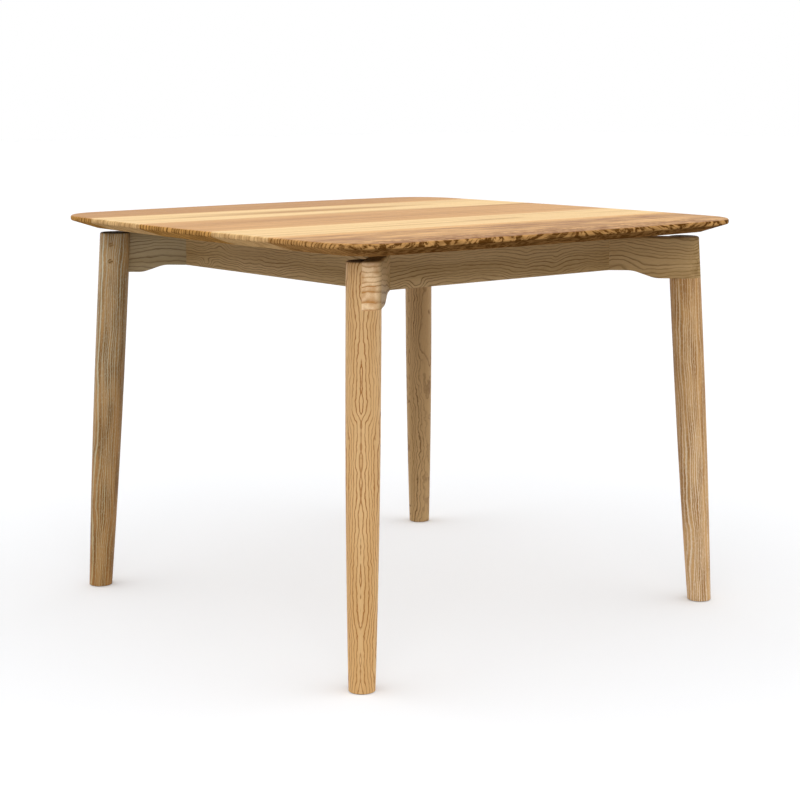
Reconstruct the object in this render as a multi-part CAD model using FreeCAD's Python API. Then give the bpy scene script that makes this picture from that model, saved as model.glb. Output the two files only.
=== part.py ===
import FreeCAD, Part
import math
import os

# Square dining table in solid wood: a glued-up top on a low frame of four rails, with a diagonal arm
# at each corner that reaches out to a round, leaning leg. Lengths are in millimetres.
# +Z is up and z = 0 is the floor. X runs along the top's staves, from left to right, and Y from the
# front to the back. The origin is on the floor under the middle of the top.

# Tabletop
TABLE_HEIGHT = 760.0
TOP_WIDTH = 1000.0
TOP_SIDE_BOW = 20.0
TOP_CORNER_RADIUS = 105.0
TOP_THICKNESS = 25.0
TOP_BAND_HEIGHT = 9.0
TOP_BEVEL_WIDTH = 50.0
TOP_EDGE_ROUNDING = 3.5
# Where the glue lines between the staves lie, as shares of half the top's width, front edge first
GLUE_LINE_SHARES = (-0.525, -0.2, 0.275, 0.65)

# Legs. The feet keep their distance from the top's sides, so they move out with a wider top.
FOOT_INSET = 68.4
LEG_DIAMETER = 60.0
FOOT_DIAMETER = 46.0
LEG_TAPER_LENGTH = 560.0
LEG_LEAN_DEGREES = 4.0
LEG_TOP_GAP = 10.0
LEG_TOP_ROUNDING = 4.0

# Frame under the top. It keeps its distance from the top's sides too.
FRAME_INSET = 205.0
RAIL_HEIGHT = 74.5
RAIL_THICKNESS = 25.0

# Arms from the frame's corners to the legs. The S-shaped step in an arm's lower edge is two arcs with
# a straight slope between them. The top of the arm is relieved outside the frame.
ARM_STEP_HEIGHT = 15.0
ARM_STEP_OFFSET = 35.0
ARM_STEP_RADIUS = 60.0
ARM_STEP_DEGREES = 19.0
ARM_RELIEF_OFFSET = 15.0

# Dowels through each arm into the ends of both rails
DOWEL_DIAMETER = 8.0
DOWEL_REACH = 10.0
DOWEL_SPACING = 36.0

# Block behind each arm's inner end
BLOCK_THICKNESS = 36.0
BLOCK_HEIGHT = 50.0

# Buttons that hold the top to the rails. A button's tongue has play sideways in its slot, because the
# top's width changes with the air's moisture.
BUTTON_LENGTH = 35.0
BUTTON_WIDTH = 30.0
BUTTON_HEIGHT = 20.0
BUTTON_GAP = 1.0
TONGUE_HEIGHT = 8.0
TONGUE_LENGTH = 9.0
SLOT_PLAY = 3.0
BUTTON_PLACE_SHARE = 0.45

# Screws. The head is a countersunk cone, and the tip is a cone of the same length.
SCREW_DIAMETER = 5.0
SCREW_HEAD_DIAMETER = 9.0
SCREW_HEAD_HEIGHT = 3.0
LEG_SCREW_LENGTH = 44.0
LEG_SCREW_SPACING = 33.0
PLUG_DIAMETER = 10.0
PLUG_DEPTH = 8.0
BLOCK_SCREW_LENGTH = 60.0
POCKET_SCREW_LENGTH = 30.0
POCKET_WOOD = 14.0
POCKET_PLACE_SHARE = 0.4
BUTTON_SCREW_LENGTH = 35.0

# Glides under the feet: a disc let into the foot, standing a little proud, on a pin. Its lower rim is
# bevelled so that it slides over a joint in the floor.
GLIDE_DIAMETER = 25.0
GLIDE_HEIGHT = 3.0
GLIDE_PROUD = 1.0
GLIDE_RIM_BEVEL = 0.8
GLIDE_PIN_DIAMETER = 4.0
GLIDE_PIN_LENGTH = 15.0

# Clearance all round a loose fit, how far a cutting shape overruns what it cuts, and how near two
# levels count as the same
FIT_CLEARANCE = 0.3
OVERRUN = 10.0
SAME_LEVEL = 0.01

# Levels that the parts share
underside_z = TABLE_HEIGHT - TOP_THICKNESS
rail_bottom_z = underside_z - RAIL_HEIGHT
rail_middle_z = (underside_z + rail_bottom_z) / 2
leg_top_z = underside_z - LEG_TOP_GAP
arm_bottom_z = rail_bottom_z - ARM_STEP_HEIGHT
arm_middle_z = (leg_top_z + arm_bottom_z) / 2
tongue_bottom_z = underside_z - BUTTON_HEIGHT
tongue_top_z = tongue_bottom_z + TONGUE_HEIGHT

# Plan of one corner. u runs outwards along the corner's diagonal, and v square to it, towards the
# front or the back. The arm lies between v = 0 and v = arm_thickness, so that it is flush with the
# leg's round side, and both rails meet it at the same u.
leg_radius = LEG_DIAMETER / 2
arm_thickness = leg_radius
arm_middle_v = arm_thickness / 2
outer_x = TOP_WIDTH / 2 - FRAME_INSET
outer_y = outer_x + arm_thickness / math.sqrt(2)
inner_x = outer_x - RAIL_THICKNESS
inner_y = outer_y - RAIL_THICKNESS
frame_corner_u = outer_x * math.sqrt(2)
arm_inner_u = inner_x * math.sqrt(2)
block_inner_u = arm_inner_u - BLOCK_THICKNESS
foot_u = (TOP_WIDTH / 2 - FOOT_INSET) * math.sqrt(2)
lean = math.radians(LEG_LEAN_DEGREES)

ORIGIN = FreeCAD.Vector(0, 0, 0)
RIGHT = FreeCAD.Vector(1, 0, 0)
BACK = FreeCAD.Vector(0, 1, 0)
UP = FreeCAD.Vector(0, 0, 1)
DIAGONAL = (RIGHT + BACK) / math.sqrt(2)
ACROSS = (BACK - RIGHT) / math.sqrt(2)
FULL_TURN = 360

# The corners by name, with the signs of their x and y. Each corner is a mirror image of the next.
CORNERS = {
    "front_left": (-1, -1),
    "front_right": (1, -1),
    "back_left": (-1, 1),
    "back_right": (1, 1),
}


def at_corner(u, v, z):
    """Point given in the back right corner's own directions."""
    return DIAGONAL * u + ACROSS * v + UP * z


def leg_axis_u(z):
    """Place of the leaning leg's axis along the diagonal, at height z."""
    return foot_u - z * math.tan(lean)


def prism(points, sweep):
    """Solid swept from the closed outline through points, along the vector sweep."""
    return Part.Face(Part.makePolygon(points + points[:1])).extrude(sweep)


def corner_box(u_range, v_range, z_range):
    """Box with its sides along the back right corner's directions."""
    (u0, u1), (v0, v1), (z0, z1) = u_range, v_range, z_range
    outline = [at_corner(u, v, z0) for u, v in ((u0, v0), (u1, v0), (u1, v1), (u0, v1))]
    return prism(outline, UP * (z1 - z0))


def turned(points):
    """Solid turned about +Z from an outline of (radius, height) points that starts and ends on the axis."""
    outline = [FreeCAD.Vector(radius, 0, height) for radius, height in points]
    return Part.Face(Part.makePolygon(outline + outline[:1])).revolve(ORIGIN, UP, FULL_TURN)


def placed(shape, point, direction):
    """Copy of a shape built along +Z from the origin, moved to point and turned along direction."""
    copy = shape.copy()
    copy.Placement = FreeCAD.Placement(point, FreeCAD.Rotation(UP, direction))
    return copy


def rounded(shape, radius, wanted):
    """Shape with every edge rounded for which wanted(edge) is true."""
    return shape.makeFillet(radius, [edge for edge in shape.Edges if wanted(edge)])


def lies_at(edge, z):
    """Whether the whole edge lies at height z."""
    box = edge.BoundBox
    return abs(box.ZMin - z) < SAME_LEVEL and abs(box.ZMax - z) < SAME_LEVEL


def to_corner(shape, signs):
    """Mirror a shape made for the back right corner to the corner with these signs of x and y."""
    x_sign, y_sign = signs
    if x_sign < 0:
        shape = shape.mirror(ORIGIN, RIGHT)
    if y_sign < 0:
        shape = shape.mirror(ORIGIN, BACK)
    return shape


def at_all_corners(shapes):
    """Mirror images of the back right corner's shapes at all four corners."""
    return [to_corner(shape, signs) for signs in CORNERS.values() for shape in shapes]


def without(shape, tools):
    """Shape with the tools cut out of it."""
    return shape.cut(Part.makeCompound(tools))


def write(node, shapes):
    """Write the solids of one node: a single piece, or a group of separate ones."""
    solids = [solid for shape in shapes for solid in shape.Solids]
    node_shape = solids[0] if len(solids) == 1 else Part.makeCompound(solids)
    node_shape.exportStep("parts/" + node + ".step")


def arc_about(centre, radius, start, end, turn):
    """Arc about centre from angle start to end, then turned about the vertical through the origin."""
    turning = FreeCAD.Rotation(UP, math.degrees(turn))
    points = []
    for angle in (start, (start + end) / 2, end):
        spoke = RIGHT * math.cos(angle) + BACK * math.sin(angle)
        points.append(turning.multVec(centre + spoke * radius))
    return Part.Arc(*points).toShape()


def top_outline(inset, z):
    """Wire of the square plan with bowed sides and round corners, inset all round, at height z."""
    chord_half = TOP_WIDTH / 2 - TOP_SIDE_BOW
    side_radius = (chord_half ** 2 + TOP_SIDE_BOW ** 2) / (2 * TOP_SIDE_BOW) - inset
    side_centre = TOP_WIDTH / 2 - inset - side_radius
    corner_radius = TOP_CORNER_RADIUS - inset
    # A corner's centre is on the diagonal, where its circle touches both sides from the inside
    reach = side_radius - corner_radius
    corner_centre = (side_centre + math.sqrt(2 * reach ** 2 - side_centre ** 2)) / 2
    sweep = math.atan2(corner_centre, corner_centre - side_centre)
    edges = []
    for quarter in range(4):
        turn = quarter * math.pi / 2
        side_middle = RIGHT * side_centre + UP * z
        edges.append(arc_about(side_middle, side_radius, -sweep, sweep, turn))
        corner_middle = (RIGHT + BACK) * corner_centre + UP * z
        edges.append(arc_about(corner_middle, corner_radius, sweep, math.pi / 2 - sweep, turn))
    return Part.Wire(edges)


def tabletop():
    """The whole top: an upright band with both its edges softened, over a wide bevel."""
    band_bottom_z = TABLE_HEIGHT - TOP_BAND_HEIGHT
    rim = top_outline(0, band_bottom_z)
    band = Part.Face(rim).extrude(UP * TOP_BAND_HEIGHT)
    bevel = Part.makeLoft([top_outline(TOP_BEVEL_WIDTH, underside_z), rim], True, True)

    def on_band(edge):
        return lies_at(edge, TABLE_HEIGHT) or lies_at(edge, band_bottom_z)

    return rounded(band.fuse(bevel), TOP_EDGE_ROUNDING, on_band)


def top_staves(screws):
    """The top cut along its glue lines, front stave first, with pilot holes for the screws."""
    half = TOP_WIDTH / 2
    lines = [-half - OVERRUN]
    lines += [share * half for share in GLUE_LINE_SHARES]
    lines.append(half + OVERRUN)
    top = without(tabletop(), screws)
    length = TOP_WIDTH + 2 * OVERRUN
    height = TOP_THICKNESS + 2 * OVERRUN
    staves = []
    for front, back in zip(lines, lines[1:]):
        corner = FreeCAD.Vector(-length / 2, front, underside_z - OVERRUN)
        staves.append(top.common(Part.makeBox(length, back - front, height, corner)))
    return staves


def leg_blank():
    """The back right leg before it is jointed: round, with a curved taper, and cut level at both ends."""
    narrowing = (LEG_DIAMETER - FOOT_DIAMETER) / 2
    curve_radius = (narrowing ** 2 + LEG_TAPER_LENGTH ** 2) / (2 * narrowing)
    curve_centre = FreeCAD.Vector(leg_radius - curve_radius, 0, LEG_TAPER_LENGTH)

    def on_curve(height):
        rise = LEG_TAPER_LENGTH - height
        return curve_centre + RIGHT * math.sqrt(curve_radius ** 2 - rise ** 2) - UP * rise

    overrun_foot = on_curve(-OVERRUN)
    overrun_top = leg_top_z / math.cos(lean) + OVERRUN
    outline = [
        Part.Arc(overrun_foot, on_curve(0), on_curve(LEG_TAPER_LENGTH)).toShape(),
        Part.makeLine(on_curve(LEG_TAPER_LENGTH), RIGHT * leg_radius + UP * overrun_top),
        Part.makeLine(RIGHT * leg_radius + UP * overrun_top, UP * overrun_top),
        Part.makeLine(UP * overrun_top, UP * -OVERRUN),
        Part.makeLine(UP * -OVERRUN, overrun_foot),
    ]
    upright = Part.Face(Part.Wire(outline)).revolve(ORIGIN, UP, FULL_TURN)
    axis = UP * math.cos(lean) - DIAGONAL * math.sin(lean)
    leaning = placed(upright, at_corner(foot_u, 0, 0), axis)
    plan = ((0, foot_u + LEG_DIAMETER), (-LEG_DIAMETER, LEG_DIAMETER))
    return leaning.common(corner_box(*plan, (GLIDE_PROUD, leg_top_z)))


def arm_share_of_leg(blank):
    """The half of the leg's round top that the arm's nose takes."""
    plan = ((0, foot_u + LEG_DIAMETER), (0, LEG_DIAMETER))
    return blank.common(corner_box(*plan, (arm_bottom_z, leg_top_z)))


def leg(blank):
    """Leg with its top rounded and halved along the diagonal, to take the arm's nose."""
    whole = rounded(blank, LEG_TOP_ROUNDING, lambda edge: lies_at(edge, leg_top_z))
    plan = ((0, foot_u + LEG_DIAMETER), (0, LEG_DIAMETER))
    return whole.cut(corner_box(*plan, (arm_bottom_z, leg_top_z + OVERRUN)))


def arm(blank):
    """Arm from the frame's corner to the leg, with a stepped lower edge and a nose that rounds the leg."""
    def at(u, z):
        return at_corner(u, 0, z)

    slope = math.radians(ARM_STEP_DEGREES)
    bend_run = ARM_STEP_RADIUS * math.sin(slope)
    bend_drop = ARM_STEP_RADIUS * (1 - math.cos(slope))
    half_run = ARM_STEP_RADIUS * math.sin(slope / 2)
    half_drop = ARM_STEP_RADIUS * (1 - math.cos(slope / 2))
    slope_run = (ARM_STEP_HEIGHT - 2 * bend_drop) / math.tan(slope)

    step_u = frame_corner_u + ARM_STEP_OFFSET
    step_end_u = step_u + 2 * bend_run + slope_run
    upper_bend_end = at(step_u + bend_run, rail_bottom_z - bend_drop)
    lower_bend_start = at(step_end_u - bend_run, arm_bottom_z + bend_drop)
    relief_u = frame_corner_u + ARM_RELIEF_OFFSET
    cove_end_u = relief_u + LEG_TOP_GAP
    cove_middle = at(cove_end_u, underside_z) - (DIAGONAL + UP) * (LEG_TOP_GAP / math.sqrt(2))

    outline = [
        Part.makeLine(at(arm_inner_u, rail_bottom_z), at(step_u, rail_bottom_z)),
        Part.Arc(at(step_u, rail_bottom_z),
                 at(step_u + half_run, rail_bottom_z - half_drop),
                 upper_bend_end).toShape(),
        Part.makeLine(upper_bend_end, lower_bend_start),
        Part.Arc(lower_bend_start,
                 at(step_end_u - half_run, arm_bottom_z + half_drop),
                 at(step_end_u, arm_bottom_z)).toShape(),
        Part.makeLine(at(step_end_u, arm_bottom_z), at(leg_axis_u(arm_bottom_z), arm_bottom_z)),
        Part.makeLine(at(leg_axis_u(arm_bottom_z), arm_bottom_z), at(leg_axis_u(leg_top_z), leg_top_z)),
        Part.makeLine(at(leg_axis_u(leg_top_z), leg_top_z), at(cove_end_u, leg_top_z)),
        Part.Arc(at(cove_end_u, leg_top_z), cove_middle, at(relief_u, underside_z)).toShape(),
        Part.makeLine(at(relief_u, underside_z), at(arm_inner_u, underside_z)),
        Part.makeLine(at(arm_inner_u, underside_z), at(arm_inner_u, rail_bottom_z)),
    ]
    bar = Part.Face(Part.Wire(outline)).extrude(ACROSS * arm_thickness)
    whole = bar.fuse(arm_share_of_leg(blank)).removeSplitter()

    def on_outer_top_edge(edge):
        middle = edge.CenterOfMass
        past_cove = middle.dot(DIAGONAL) > cove_end_u + SAME_LEVEL
        return lies_at(edge, leg_top_z) and past_cove and middle.dot(ACROSS) > SAME_LEVEL

    return rounded(whole, LEG_TOP_ROUNDING, on_outer_top_edge)


def rail(outer_face, outer_half, inner_half):
    """Rail along X at the back, with mitred ends and two slots in its inner face for the buttons."""
    inner_face = outer_face - RAIL_THICKNESS
    plan = [
        FreeCAD.Vector(-outer_half, outer_face, rail_bottom_z),
        FreeCAD.Vector(outer_half, outer_face, rail_bottom_z),
        FreeCAD.Vector(inner_half, inner_face, rail_bottom_z),
        FreeCAD.Vector(-inner_half, inner_face, rail_bottom_z),
    ]
    slot_width = BUTTON_WIDTH + 2 * SLOT_PLAY
    slot_depth = TONGUE_LENGTH + SLOT_PLAY
    slot_height = TONGUE_HEIGHT + FIT_CLEARANCE
    slot_bottom_z = tongue_bottom_z - FIT_CLEARANCE
    slots = []
    for side in (-1, 1):
        slot_left = side * inner_half * BUTTON_PLACE_SHARE - slot_width / 2
        corner = FreeCAD.Vector(slot_left, inner_face - OVERRUN, slot_bottom_z)
        slots.append(Part.makeBox(slot_width, slot_depth + OVERRUN, slot_height, corner))
    return without(prism(plan, UP * RAIL_HEIGHT), slots)


def rail_button(inner_face, inner_half, side):
    """Button on the back rail: a block against the top, with a tongue in the rail's slot."""
    middle = side * inner_half * BUTTON_PLACE_SHARE
    block_back = inner_face - BUTTON_GAP
    block_front = block_back - BUTTON_LENGTH
    profile = [
        (block_front, tongue_bottom_z),
        (inner_face + TONGUE_LENGTH, tongue_bottom_z),
        (inner_face + TONGUE_LENGTH, tongue_top_z),
        (block_back, tongue_top_z),
        (block_back, underside_z),
        (block_front, underside_z),
    ]
    points = [FreeCAD.Vector(middle - BUTTON_WIDTH / 2, y, z) for y, z in profile]
    return prism(points, RIGHT * BUTTON_WIDTH)


def button_screw(inner_face, inner_half, side):
    """Screw up through the middle of a button's block on the back rail, into the top."""
    middle = side * inner_half * BUTTON_PLACE_SHARE
    head_y = inner_face - BUTTON_GAP - BUTTON_LENGTH / 2
    return placed(screw(BUTTON_SCREW_LENGTH), FreeCAD.Vector(middle, head_y, tongue_bottom_z), UP)


def screw(length):
    """Countersunk wood screw along +Z, with the top of its head at the origin."""
    return turned([
        (0, 0),
        (SCREW_HEAD_DIAMETER / 2, 0),
        (SCREW_DIAMETER / 2, SCREW_HEAD_HEIGHT),
        (SCREW_DIAMETER / 2, length - SCREW_HEAD_HEIGHT),
        (0, length),
    ])


def pair_levels(middle, spacing):
    """The two levels of a pair that is spaced evenly about the middle."""
    return (middle - spacing / 2, middle + spacing / 2)


def frame_dowels():
    """Dowels across the arm's inner end, into both rails."""
    middle_u = (arm_inner_u + frame_corner_u) / 2
    length = arm_thickness + 2 * DOWEL_REACH
    dowels = []
    for z in pair_levels(rail_middle_z, DOWEL_SPACING):
        end = at_corner(middle_u, -DOWEL_REACH, z)
        dowels.append(Part.makeCylinder(DOWEL_DIAMETER / 2, length, end, ACROSS))
    return dowels


def leg_screws():
    """Screws from the leg's own half into the arm's nose, with their heads under the plugs."""
    screws = []
    for z in pair_levels(arm_middle_z, LEG_SCREW_SPACING):
        head = at_corner(leg_axis_u(z), PLUG_DEPTH - leg_radius, z)
        screws.append(placed(screw(LEG_SCREW_LENGTH), head, ACROSS))
    return screws


def leg_plugs(blank):
    """Plugs over the leg's screws, pared flush with its round side."""
    plugs = []
    for z in pair_levels(arm_middle_z, LEG_SCREW_SPACING):
        inner_end = at_corner(leg_axis_u(z), PLUG_DEPTH - leg_radius, z)
        rod = Part.makeCylinder(PLUG_DIAMETER / 2, PLUG_DEPTH + OVERRUN, inner_end, -ACROSS)
        plugs.append(rod.common(blank))
    return plugs


def corner_block():
    """Block across the frame's inner corner, tight against both rails and the arm's inner end."""
    bottom_z = rail_middle_z - BLOCK_HEIGHT / 2
    inner_sum = block_inner_u * math.sqrt(2)
    plan = [
        FreeCAD.Vector(inner_x, inner_x, bottom_z),
        FreeCAD.Vector(inner_x, inner_sum - inner_x, bottom_z),
        FreeCAD.Vector(inner_sum - inner_y, inner_y, bottom_z),
        FreeCAD.Vector(inner_y - arm_thickness * math.sqrt(2), inner_y, bottom_z),
    ]
    return prism(plan, UP * BLOCK_HEIGHT)


def pocket_places():
    """Where the two pocket screws' heads sit in a corner block, and the directions they point in."""
    inner_sum = block_inner_u * math.sqrt(2)
    contact = 2 * inner_x - inner_sum
    along = inner_sum - inner_x + contact * POCKET_PLACE_SHARE
    side_head = FreeCAD.Vector(inner_x - POCKET_WOOD, along, rail_middle_z)
    along = inner_sum - inner_y + contact * POCKET_PLACE_SHARE
    back_head = FreeCAD.Vector(along, inner_y - POCKET_WOOD, rail_middle_z)
    return ((side_head, RIGHT), (back_head, BACK))


def block_screws():
    """Screws in a corner block: one along the diagonal into the arm, and one into each rail."""
    head = at_corner(block_inner_u, arm_middle_v, rail_middle_z)
    screws = [placed(screw(BLOCK_SCREW_LENGTH), head, DIAGONAL)]
    for head, direction in pocket_places():
        screws.append(placed(screw(POCKET_SCREW_LENGTH), head, direction))
    return screws


def block_pockets():
    """Bores from the block's long face down to the heads of the two rail screws."""
    radius = SCREW_HEAD_DIAMETER / 2 + FIT_CLEARANCE
    bores = []
    for head, direction in pocket_places():
        bores.append(Part.makeCylinder(radius, BLOCK_THICKNESS, head, -direction))
    return bores


def foot_glide():
    """Glide under the foot, standing on the floor, with its pin up in the leg."""
    disc = GLIDE_DIAMETER / 2
    pin = GLIDE_PIN_DIAMETER / 2
    outline = [
        (0, 0),
        (disc - GLIDE_RIM_BEVEL, 0),
        (disc, GLIDE_RIM_BEVEL),
        (disc, GLIDE_HEIGHT),
        (pin, GLIDE_HEIGHT),
        (pin, GLIDE_HEIGHT + GLIDE_PIN_LENGTH),
        (0, GLIDE_HEIGHT + GLIDE_PIN_LENGTH),
    ]
    return placed(turned(outline), at_corner(leg_axis_u(GLIDE_PROUD), 0, 0), UP)


def write_corners():
    """Write the pieces that all four corners have, and return the fasteners that enter the rails."""
    blank = leg_blank()
    dowels = frame_dowels()
    lag_screws = leg_screws()
    plugs = leg_plugs(blank)
    frame_screws = block_screws()
    glide = foot_glide()
    pieces = {
        "arm": without(arm(blank), dowels + lag_screws + frame_screws),
        "leg": without(leg(blank), plugs + lag_screws + [glide]),
        "corner_block": without(corner_block(), frame_screws + block_pockets()),
        "foot_glide": glide,
    }
    for corner, signs in CORNERS.items():
        for name, piece in pieces.items():
            write(name + "_" + corner, [to_corner(piece, signs)])
    write("leg_screws", at_all_corners(lag_screws))
    write("leg_plugs", at_all_corners(plugs))
    write("corner_block_screws", at_all_corners(frame_screws))
    write("frame_dowels", at_all_corners(dowels))
    return at_all_corners(dowels + frame_screws)


def write_rails(fasteners):
    """Write the rails and their buttons, and return the buttons' screws."""
    mitre_shift = arm_thickness * math.sqrt(2)
    # Each rail is made at the back and turned to its side, in quarter turns anticlockwise
    sides = {
        "back": (0, (outer_y, outer_y - mitre_shift, inner_y - mitre_shift)),
        "left": (1, (outer_x, outer_x, inner_x)),
        "front": (2, (outer_y, outer_y - mitre_shift, inner_y - mitre_shift)),
        "right": (3, (outer_x, outer_x, inner_x)),
    }
    screws = []
    for side, (quarters, (outer_face, outer_half, inner_half)) in sides.items():
        turn = quarters * FULL_TURN / 4
        inner_face = outer_face - RAIL_THICKNESS
        turned_rail = rail(outer_face, outer_half, inner_half).rotated(ORIGIN, UP, turn)
        write("rail_" + side, [without(turned_rail, fasteners)])
        for number, end in enumerate((-1, 1), start=1):
            button = rail_button(inner_face, inner_half, end)
            fixing = button_screw(inner_face, inner_half, end)
            fastened = without(button, [fixing]).rotated(ORIGIN, UP, turn)
            write("top_button_" + side + "_" + str(number), [fastened])
            screws.append(fixing.rotated(ORIGIN, UP, turn))
    write("top_button_screws", screws)
    return screws


def main():
    os.makedirs("parts", exist_ok=True)
    fasteners = write_corners()
    screws = write_rails(fasteners)
    for number, stave in enumerate(top_staves(screws), start=1):
        write("top_stave_" + str(number), [stave])


main()
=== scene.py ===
import logging
import math
from abc import ABC, abstractmethod
from dataclasses import dataclass
from enum import Enum

import bmesh
import bpy
from mathutils import Matrix, Vector


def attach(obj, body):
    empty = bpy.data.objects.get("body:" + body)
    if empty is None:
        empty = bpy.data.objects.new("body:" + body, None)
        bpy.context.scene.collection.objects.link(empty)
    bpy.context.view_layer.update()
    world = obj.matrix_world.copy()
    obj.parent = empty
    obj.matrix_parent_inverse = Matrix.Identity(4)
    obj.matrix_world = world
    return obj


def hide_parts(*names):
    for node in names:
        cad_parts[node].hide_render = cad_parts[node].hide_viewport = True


# Square dining table in oiled ash, on a low frame with diagonal arms and round leaning legs.
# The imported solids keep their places. Here they get their wood, and the small hardware its real form.

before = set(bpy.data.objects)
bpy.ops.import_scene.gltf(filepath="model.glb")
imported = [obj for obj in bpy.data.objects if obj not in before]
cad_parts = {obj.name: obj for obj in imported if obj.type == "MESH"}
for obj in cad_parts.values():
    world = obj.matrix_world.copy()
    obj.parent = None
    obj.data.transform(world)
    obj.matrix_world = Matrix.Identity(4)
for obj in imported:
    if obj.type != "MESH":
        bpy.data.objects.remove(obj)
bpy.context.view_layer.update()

log = logging.getLogger("square_dining_table")

MM = 0.001
# Share of a length on a corner's diagonal that it runs along each side of the table
DIAGONAL_SHARE = math.sqrt(0.5)
# Metres that a board's pattern moves along its grain for each unit of its seed
SEED_SHIFT = 1.37
ORIGIN = (0.0, 0.0, 0.0)
RIGHTWARDS = Vector((1, 0, 0))
BACKWARDS = Vector((0, 1, 0))
UPWARDS = Vector((0, 0, 1))

Colour = tuple[float, float, float, float]
Material = bpy.types.Material
Node = bpy.types.Node
Piece = bpy.types.Object
Profile = tuple[tuple[float, float], ...]
Socket = bpy.types.NodeSocket
Tree = bpy.types.NodeTree


class Place(Enum):
    """A place on the table, which the names of its solids spell in small letters."""

    @property
    def label(self) -> str:
        """The place as the names of its solids spell it."""
        return self.name.lower()


class Corner(Place):
    """The table's corners, each with the signs of its x and y.

    Lengths u run out along a corner's diagonal, and v square to it, towards the table's front or back.
    """

    FRONT_LEFT = (-1, -1)
    FRONT_RIGHT = (1, -1)
    BACK_LEFT = (-1, 1)
    BACK_RIGHT = (1, 1)

    def turned(self, u: float, v: float, z: float) -> Vector:
        """Turn lengths along the corner's u and v and a height into x, y and z."""
        x_sign, y_sign = self.value
        return Vector((x_sign * (u - v) * DIAGONAL_SHARE, y_sign * (u + v) * DIAGONAL_SHARE, z))


class Side(Place):
    """The frame's sides, each with its rail's direction and the way that it faces."""

    FRONT = ((1, 0, 0), (0, -1, 0))
    BACK = ((1, 0, 0), (0, 1, 0))
    LEFT = ((0, 1, 0), (-1, 0, 0))
    RIGHT = ((0, 1, 0), (1, 0, 0))


@dataclass(frozen=True)
class CornerLines:
    """The middle lines of the leg and the arm at each corner, in mm along its diagonal and beside it."""

    foot_u: float = 610.37
    lean_degrees: float = 4.0
    arm_v: float = 15.0

    @property
    def slant(self) -> float:
        """A leg's run towards the table's middle for each mm of height."""
        return math.tan(math.radians(self.lean_degrees))


def deselect_all() -> None:
    """Deselect every object, so that the next operator acts on its own alone."""
    bpy.ops.object.select_all(action="DESELECT")


def edit_all() -> None:
    """Start to edit the active piece, with all of it selected."""
    bpy.ops.object.mode_set(mode="EDIT")
    bpy.ops.mesh.select_all(action="SELECT")


def face_outwards() -> None:
    """Point all faces of the edited piece outwards and stop editing it."""
    bpy.ops.mesh.select_all(action="SELECT")
    bpy.ops.mesh.normals_make_consistent(inside=False)
    bpy.ops.object.mode_set(mode="OBJECT")


def turn_profile(name: str, profile: Profile, sides: int) -> Piece:
    """Model a closed round piece about the Z axis, one ring of faces for each step of its profile.

    Args:
        name: Name of the piece.
        profile: Height and radius at each step in mm, from the lowest up.
        sides: Number of sides of the round.

    Returns:
        The piece, its faces pointing outwards.
    """
    deselect_all()
    height, radius = profile[0]
    bpy.ops.mesh.primitive_circle_add(
        vertices=sides, radius=radius * MM, location=(0.0, 0.0, height * MM), fill_type="NGON")
    piece = bpy.context.object
    piece.name = name
    edit_all()
    for next_height, next_radius in profile[1:]:
        bpy.ops.mesh.extrude_region_move(
            TRANSFORM_OT_translate={"value": (0.0, 0.0, (next_height - height) * MM)})
        share = next_radius / radius
        bpy.ops.transform.resize(value=(share, share, 1.0), center_override=ORIGIN)
        height, radius = next_height, next_radius
    face_outwards()
    bpy.ops.object.transform_apply(location=True, rotation=True, scale=True)
    return piece


def apply_modifier(piece: Piece, kind: str, **settings: object) -> None:
    """Add a modifier and apply it.

    Args:
        piece: The piece that it shapes.
        kind: The modifier's type.
        **settings: The modifier's settings.
    """
    modifier = piece.modifiers.new(kind.lower(), kind)
    for name, value in settings.items():
        setattr(modifier, name, value)
    deselect_all()
    piece.select_set(True)
    bpy.context.view_layer.objects.active = piece
    bpy.ops.object.modifier_apply(modifier=modifier.name)


def add_object(name: str, data: bpy.types.ID) -> Piece:
    """Put a mesh, lamp or camera into the scene.

    Args:
        name: Name of its object.
        data: The mesh, lamp or camera.

    Returns:
        The object, at the origin.
    """
    added = bpy.data.objects.new(name, data)
    bpy.context.scene.collection.objects.link(added)
    return added


def place_copy(template: Piece, name: str, start: Vector, direction: Vector) -> Piece:
    """Copy a piece that was modelled at the origin, pointing up.

    Args:
        template: The modelled piece.
        name: Name of the copy.
        start: Where the copy's origin goes, in mm.
        direction: Where the copy points.

    Returns:
        The copy, with its own mesh and its place in that mesh.
    """
    piece = add_object(name, template.data.copy())
    turn = direction.to_track_quat("Z", "Y").to_matrix().to_4x4()
    piece.data.transform(Matrix.Translation(start * MM) @ turn)
    return piece


def linear(colour: str) -> Colour:
    """Turn an sRGB hex colour into the linear one that shaders take.

    Args:
        colour: Six hex digits after a hash sign.

    Returns:
        Linear red, green, blue and an alpha of 1.
    """
    channels = []
    for start in (1, 3, 5):
        share = int(colour[start:start + 2], 16) / 255
        channels.append(share / 12.92 if share <= 0.04045 else ((share + 0.055) / 1.055) ** 2.4)
    return (*channels, 1.0)


# For each type of node, the setting whose value may follow the type's name
CHOICES = {
    "Math": "operation", "VectorMath": "operation", "MapRange": "interpolation_type", "Mix": "data_type",
    "Mapping": "vector_type", "TexNoise": "noise_dimensions", "TexWhiteNoise": "noise_dimensions",
}


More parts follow.
